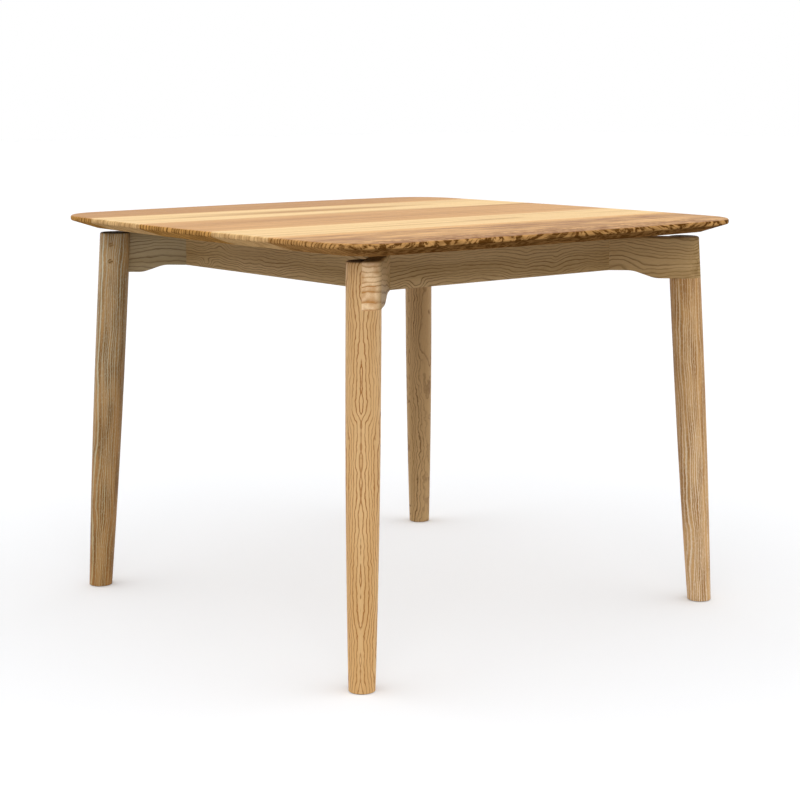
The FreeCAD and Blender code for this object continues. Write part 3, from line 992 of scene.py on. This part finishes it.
@dataclass
class Legs:
    """Four round legs, each with its layers square to its corner's diagonal, their plugs and glides."""

    lines: CornerLines = CornerLines()
    glide_diameter: float = 25.0
    glide_height: float = 3.0
    glide_rim: float = 0.9
    glide_sides: int = 48
    glide_smooth_degrees: float = 40.0
    pin_diameter: float = 4.0
    pin_length: float = 15.0
    # Where the pith lies from a leg's middle at the floor: beside the near and the far leg, so deep that
    # the plane over which their rings arch runs through them, and inwards of the legs at the sides
    pith_out: float = 120.0
    fold_depth: float = 240.0
    side_pith_out: float = -260.0
    side_pith_v: float = 40.0
    plug_tones: WoodTones = WoodTones(
        light="#BC9A6C", dark="#A88658", ring="#5E4224", pore="#6E4E28", cut="#AE8C60", cut_ring="#5E4224")

    def colours(self, corner: Corner) -> tuple[WoodTones, TopShadeFootTone]:
        """Choose the board of one leg: the front left one is the lightest, the back left one the greyest.

        Args:
            corner: The leg's corner.

        Returns:
            The board's colours, and the colours that multiply them towards its foot and, as painted shade
            under the tabletop, towards its top.
        """
        return {
            Corner.FRONT_LEFT: (
                WoodTones(light="#F6CC92", dark="#E2B478", ring="#A2601C", pore="#B47832"),
                TopShadeFootTone(top="#E4E2E2")),
            Corner.FRONT_RIGHT: (
                WoodTones(light="#DEB078", dark="#B6864E", ring="#FFECD0", pore="#FFECD0"),
                TopShadeFootTone(top="#E4D9C4")),
            Corner.BACK_LEFT: (
                WoodTones(light="#E6AA6C", dark="#B27E46", ring="#FFE8C4", pore="#FFE8C4"),
                TopShadeFootTone(top="#CEDEE8", foot="#C2BCA4")),
            Corner.BACK_RIGHT: (
                WoodTones(light="#D2AC7A", dark="#C09A68", ring="#76522A", pore="#6E4C22"),
                TopShadeFootTone(top="#E6E2DE")),
        }[corner]

    def wood(self, number: int, corner: Corner) -> OiledAsh:
        """Choose the wood of one leg, its rings lying so that their lines run down the side that shows.

        Args:
            number: The leg's number, which moves the pattern along.
            corner: The leg's corner.

        Returns:
            The wood, with broad wavy lines for the near and the far leg, and for those at the sides pale
            fine ones on darker wood.
        """
        tones, top_shade_foot_tone = self.colours(corner)
        name = "oiled_ash_leg_" + corner.label
        along = corner.turned(-self.lines.slant, 0.0, 1.0)
        if corner in (Corner.FRONT_RIGHT, Corner.BACK_LEFT):
            pith = corner.turned(self.lines.foot_u + self.side_pith_out, self.side_pith_v, 0.0)
            return OiledAsh(
                name, tones, Lay(pith, along, corner.turned(1.0, 0.1, 0.0)), seed=31.0 + number,
                ring_spacing=4.6, ring_share=0.45, ring_contrast=1.35, flat_fade=0.75, top_shade_foot_tone=top_shade_foot_tone,
                pore_width=2.2, pore_length=5.0, pore_contrast=0.7, fleck_contrast=0.0,
                tone_length=90.0, tone_width=14.0, tone_swing=0.38,
                warps=(Warp(16.0, 150.0, 46.0), Warp(4.0, 40.0, 30.0), Warp(1.6, 6.0, 4.0)))
        pith = corner.turned(self.lines.foot_u + self.pith_out, -self.fold_depth, 0.0)
        is_near = corner is Corner.FRONT_LEFT
        return OiledAsh(
            name, tones, Lay(pith, along, corner.turned(0.0 if is_near else 0.12, 1.0, 0.0)),
            seed=31.0 + number, ring_spacing=6.0 if is_near else 5.4, ring_share=0.34,
            ring_contrast=1.4 if is_near else 1.0, mirror_depth=self.fold_depth, top_shade_foot_tone=top_shade_foot_tone,
            warps=(Warp(34.0, 150.0, 120.0), Warp(14.0, 52.0, 30.0), Warp(5.0, 16.0, 12.0),
                   Warp(1.6, 7.0, 5.0)))

    def build(self) -> None:
        """Dress the legs and their plugs, and set their glides."""
        for number, corner in enumerate(Corner):
            dress_node("leg_" + corner.label, self.wood(number, corner))
        dress_node("leg_plugs", OiledAsh(
            "oiled_ash_plug", self.plug_tones, Lay(Vector(ORIGIN), RIGHTWARDS, UPWARDS), seed=41.0,
            ring_spacing=4.5, warps=(Warp(2.0, 12.0, 8.0),)))
        self._glides()

    def _glides(self) -> None:
        """Model one glide, a slightly domed disc with its pin, and set a copy under each foot."""
        radius, rim, pin = self.glide_diameter / 2, self.glide_rim, self.pin_diameter / 2
        pin_top = self.glide_height + self.pin_length
        template = turn_profile("glide", (
            (0.0, radius - 3 * rim), (rim / 3, radius - rim), (rim, radius - rim / 4), (1.6 * rim, radius),
            (self.glide_height, radius), (self.glide_height, pin), (pin_top - rim, pin), (pin_top, pin / 2),
        ), self.glide_sides)
        bpy.ops.object.shade_smooth_by_angle(angle=math.radians(self.glide_smooth_degrees))
        nylon = MouldedNylon().material()
        for corner in Corner:
            glide = place_copy(template, "nylon_glide_" + corner.label,
                               corner.turned(self.lines.foot_u, 0.0, 0.0), UPWARDS)
            dress(glide, nylon)
            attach(glide, "root")
            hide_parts("foot_glide_" + corner.label)
        bpy.data.objects.remove(template)
        log.info("set the glides")


@dataclass
class WoodScrew:
    """One countersunk cross-recess wood screw, its head's top at the origin and its point upwards, in mm."""

    length: float
    head_diameter: float = 9.0
    head_rim: float = 0.35
    head_depth: float = 3.0
    thread_diameter: float = 5.0
    core_diameter: float = 3.4
    neck_diameter: float = 3.9
    neck_share: float = 0.3
    neck_taper: float = 0.6
    pitch: float = 2.4
    ridge_flatness: float = 0.5
    turn_steps: int = 16
    tip_length: float = 4.0
    tip_radius: float = 0.15
    recess_span: float = 4.8
    recess_width: float = 1.0
    recess_depth: float = 2.2
    recess_floor_share: float = 0.45
    sides: int = 24
    smooth_degrees: float = 35.0

    def template(self) -> Piece:
        """Model the screw.

        Returns:
            One mesh: head, neck and core with the recess cut in, and the thread wound round the core.
        """
        head, neck, core = self.head_diameter / 2, self.neck_diameter / 2, self.core_diameter / 2
        neck_end = self.head_depth + self.neck_share * self.length
        core_end = self.length - self.tip_length
        screw = turn_profile(f"screw_{self.length:.0f}", (
            (0.0, head), (self.head_rim, head), (self.head_depth, neck), (neck_end, neck),
            (neck_end + self.neck_taper, core), (core_end, core), (self.length, self.tip_radius),
        ), self.sides)
        for turned in (False, True):
            self._cut_slot(screw, turned)
        thread = self._thread(neck_end + self.pitch, core_end)
        deselect_all()
        for piece in (thread, screw):
            piece.select_set(True)
        bpy.context.view_layer.objects.active = screw
        bpy.ops.object.join()
        bpy.ops.object.shade_smooth_by_angle(angle=math.radians(self.smooth_degrees))
        return screw

    def _cut_slot(self, screw: Piece, turned: bool) -> None:
        """Cut one arm pair of the cross, which narrows towards its floor.

        Args:
            screw: The screw.
            turned: Whether the pair runs along Y instead of X.
        """
        span, width, depth = self.recess_span * MM, self.recess_width * MM, self.recess_depth * MM
        deselect_all()
        bpy.ops.mesh.primitive_cube_add(size=1.0)
        cutter = bpy.context.object
        edit_all()
        size = (width, span, 2 * depth) if turned else (span, width, 2 * depth)
        bpy.ops.transform.resize(value=size, center_override=ORIGIN)
        bpy.ops.mesh.select_all(action="DESELECT")
        shape = bmesh.from_edit_mesh(cutter.data)
        for face in shape.faces:
            face.select_set(face.normal.z > 0.9)
        bmesh.update_edit_mesh(cutter.data)
        share = self.recess_floor_share
        bpy.ops.transform.resize(value=(share, share, 1.0), center_override=ORIGIN)
        bpy.ops.object.mode_set(mode="OBJECT")
        apply_modifier(screw, "BOOLEAN", operation="DIFFERENCE", object=cutter, solver="EXACT")
        bpy.data.objects.remove(cutter)

    def _thread(self, start: float, end: float) -> Piece:
        """Wind a sharp ridge round the core, half of it buried there.

        Args:
            start: Height of its first turn.
            end: Height that its last turn stays below.

        Returns:
            The ridge, closed at both ends.
        """
        depth = (self.thread_diameter - self.core_diameter) / 2
        deselect_all()
        bpy.ops.mesh.primitive_circle_add(vertices=4, radius=depth * MM)
        ridge = bpy.context.object
        edit_all()
        bpy.ops.transform.rotate(value=math.pi / 2, orient_axis="X", center_override=ORIGIN)
        bpy.ops.transform.resize(value=(1.0, 1.0, self.ridge_flatness), center_override=ORIGIN)
        bpy.ops.transform.translate(value=(self.core_diameter / 2 * MM, 0.0, start * MM))
        bpy.ops.object.mode_set(mode="OBJECT")
        apply_modifier(ridge, "SCREW", axis="Z", screw_offset=self.pitch * MM,
                       steps=self.turn_steps, render_steps=self.turn_steps,
                       iterations=int((end - start) / self.pitch), use_merge_vertices=False)
        edit_all()
        bpy.ops.mesh.fill_holes(sides=4)
        face_outwards()
        return ridge


@dataclass
class InnerFittings:
    """Corner blocks, dowels, top buttons and the screws that hold them, in mm."""

    beech_tones: WoodTones = WoodTones(
        light="#D6AE84", dark="#C89C70", ring="#B48458", pore="#A8764C", cut="#C0946A", cut_ring="#A47850")
    lines: CornerLines = CornerLines()
    button_bottom_z: float = 715.0
    button_screw_long: tuple[float, float] = (112.0, 272.7)
    button_screw_short: tuple[float, float] = (251.5, 121.5)
    block_inner_u: float = 345.8
    rail_middle_z: float = 697.75
    pocket_screw_along_x: tuple[float, float] = (256.0, 239.5)
    pocket_screw_along_y: tuple[float, float] = (218.3, 277.2)
    leg_screw_v: float = -22.0
    leg_screw_heights: tuple[float, float] = (668.75, 701.75)

    def build(self) -> None:
        """Dress the wooden fittings and set the screws."""
        beech = OiledAsh(
            "planed_beech", self.beech_tones, Lay(Vector((0, 0, 300)), RIGHTWARDS, UPWARDS), seed=51.0,
            ring_spacing=3.0, ring_contrast=0.35, warps=(Warp(10.0, 200.0, 60.0),)).material()
        for name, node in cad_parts.items():
            if name.startswith(("corner_block_", "top_button_", "frame_dowels")) and "screws" not in name:
                dress(node, beech)
        log.info("dressed the inner fittings")
        steel = ZincPlatedSteel().material()
        for node, length, places in (
            ("top_button_screws", 35.0, self._button_places()),
            ("corner_block_screws", 60.0, self._block_places()),
            ("corner_block_screws", 30.0, self._pocket_places()),
            ("leg_screws", 44.0, self._leg_places()),
        ):
            template = WoodScrew(length).template()
            for number, (start, direction) in enumerate(places, start=1):
                screw = place_copy(template, f"{node}_{length:.0f}_{number}", start, direction)
                dress(screw, steel)
                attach(screw, "root")
                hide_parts(node)
            bpy.data.objects.remove(template)
            log.info("set %d screws %.0f mm long", len(places), length)

    def _button_places(self) -> list[tuple[Vector, Vector]]:
        """Start and direction of each screw that holds a button."""
        return [
            (Vector((corner.value[0] * x, corner.value[1] * y, self.button_bottom_z)), UPWARDS)
            for corner in Corner for x, y in (self.button_screw_long, self.button_screw_short)
        ]

    def _block_places(self) -> list[tuple[Vector, Vector]]:
        """Start and direction of each long screw, from a block into its arm."""
        return [
            (corner.turned(self.block_inner_u, self.lines.arm_v, self.rail_middle_z),
             corner.turned(1.0, 0.0, 0.0))
            for corner in Corner
        ]

    def _pocket_places(self) -> list[tuple[Vector, Vector]]:
        """Place the short screws, from each block into both rails.

        Returns:
            Start and direction of each screw.
        """
        places = []
        for corner in Corner:
            x_sign, y_sign = corner.value
            for (x, y), direction in (
                (self.pocket_screw_along_x, Vector((x_sign, 0, 0))),
                (self.pocket_screw_along_y, Vector((0, y_sign, 0))),
            ):
                places.append((Vector((x_sign * x, y_sign * y, self.rail_middle_z)), direction))
        return places

    def _leg_places(self) -> list[tuple[Vector, Vector]]:
        """Start and direction of each screw under a plug, from a leg into its arm."""
        return [
            (corner.turned(self.lines.foot_u - height * self.lines.slant, self.leg_screw_v, height),
             corner.turned(0.0, 1.0, 0.0))
            for corner in Corner for height in self.leg_screw_heights
        ]


@dataclass
class Studio:
    """White floor and backdrop, soft light from all round, and the camera of the photograph."""

    camera_place: tuple[float, float, float] = (-2.22804, -2.68712, 1.00086)
    camera_turn_degrees: tuple[float, float, float] = (90.0 - 9.8606, 0.0, -39.8175)
    lens: float = 79.926
    sensor: float = 36.0
    # The dome's strength at its horizon, in the bright band above it and at its top
    horizon: float = 0.1
    band: float = 1.3
    zenith: float = 0.62
    # Heights, as shares of the dome's, where the band starts and where it is brightest
    band_from_share: float = 0.15
    band_full_share: float = 0.45
    side_gain: float = 1.0
    floor_side: float = 60.0
    lamp_place: tuple[float, float, float] = (-2.6, -3.1, 2.6)
    lamp_target: tuple[float, float, float] = (0.0, 0.0, 0.4)
    lamp_side: float = 2.4
    lamp_watts: float = 26.0

    def build(self) -> None:
        """Set up the colour handling, world, floor, lamp and camera."""
        bpy.context.scene.view_settings.view_transform = "Standard"
        self._world()
        self._floor()
        self._lamp()
        self._camera()

    def _world(self) -> None:
        """White where it is seen, and the dome's strength where it lights the table."""
        world = bpy.data.worlds.new("white_studio")
        world.use_nodes = True
        bpy.context.scene.world = world
        tree = world.node_tree
        tree.nodes.clear()
        direction = add_node(tree, "TexCoord").outputs["Generated"]
        height = add_node(tree, "SeparateXYZ", {0: direction}).outputs["Z"]
        rising = add_node(tree, "MapRange SMOOTHSTEP", {
            "Value": height, "From Min": self.band_from_share, "From Max": self.band_full_share,
            "To Min": self.horizon, "To Max": self.band})
        falling = add_node(tree, "MapRange SMOOTHSTEP", {
            "Value": height, "From Min": self.band_full_share, "From Max": 1.0,
            "To Min": 1.0, "To Max": self.zenith / self.band})
        dome = add_node(tree, "Math MULTIPLY", {0: rising, 1: falling})
        azimuth = math.radians(self.camera_turn_degrees[2])
        sideways = add_node(tree, "VectorMath DOT_PRODUCT", {
            0: direction, 1: (math.cos(azimuth), math.sin(azimuth), 0.0)})
        sideways = add_node(tree, "Math MULTIPLY", {0: sideways, 1: sideways})
        banks = add_node(tree, "Math MULTIPLY_ADD", {0: sideways, 1: self.side_gain, 2: 1.0})
        dome = add_node(tree, "Math MULTIPLY", {0: dome, 1: banks})
        strength = add_node(tree, "Mix", {0: seen_directly(tree), "A": dome, "B": 1.0})
        background = add_node(tree, "Background", {"Color": linear("#FFFFFF"), "Strength": strength})
        add_node(tree, "OutputWorld", {"Surface": background})

    def _floor(self) -> None:
        """Lay the floor, which runs out past all that the camera sees."""
        deselect_all()
        bpy.ops.mesh.primitive_plane_add(size=self.floor_side)
        floor = bpy.context.object
        floor.name = "studio_floor"
        dress(floor, MattFloor().material())

    def _lamp(self) -> None:
        """Hang one square soft lamp in front, on the left."""
        data = bpy.data.lights.new("softbox_key", "AREA")
        data.size = self.lamp_side
        data.energy = self.lamp_watts
        lamp = add_object("softbox_key", data)
        lamp.location = self.lamp_place
        aim = Vector(self.lamp_target) - Vector(self.lamp_place)
        lamp.rotation_euler = aim.to_track_quat("-Z", "Y").to_euler()

    def _camera(self) -> None:
        """Stand the camera where the photograph was taken."""
        data = bpy.data.cameras.new("camera")
        data.lens = self.lens
        data.sensor_width = self.sensor
        camera = add_object("camera", data)
        camera.location = self.camera_place
        camera.rotation_euler = [math.radians(angle) for angle in self.camera_turn_degrees]
        bpy.context.scene.camera = camera


def main() -> None:
    """Build the sub-assemblies in order, then the studio round them."""
    logging.basicConfig(level=logging.INFO, format="%(message)s")
    for part in (Tabletop(), Underframe(), Legs(), InnerFittings(), Studio()):
        log.info("building %s", type(part).__name__)
        part.build()


if __name__ == "__main__":
    main()
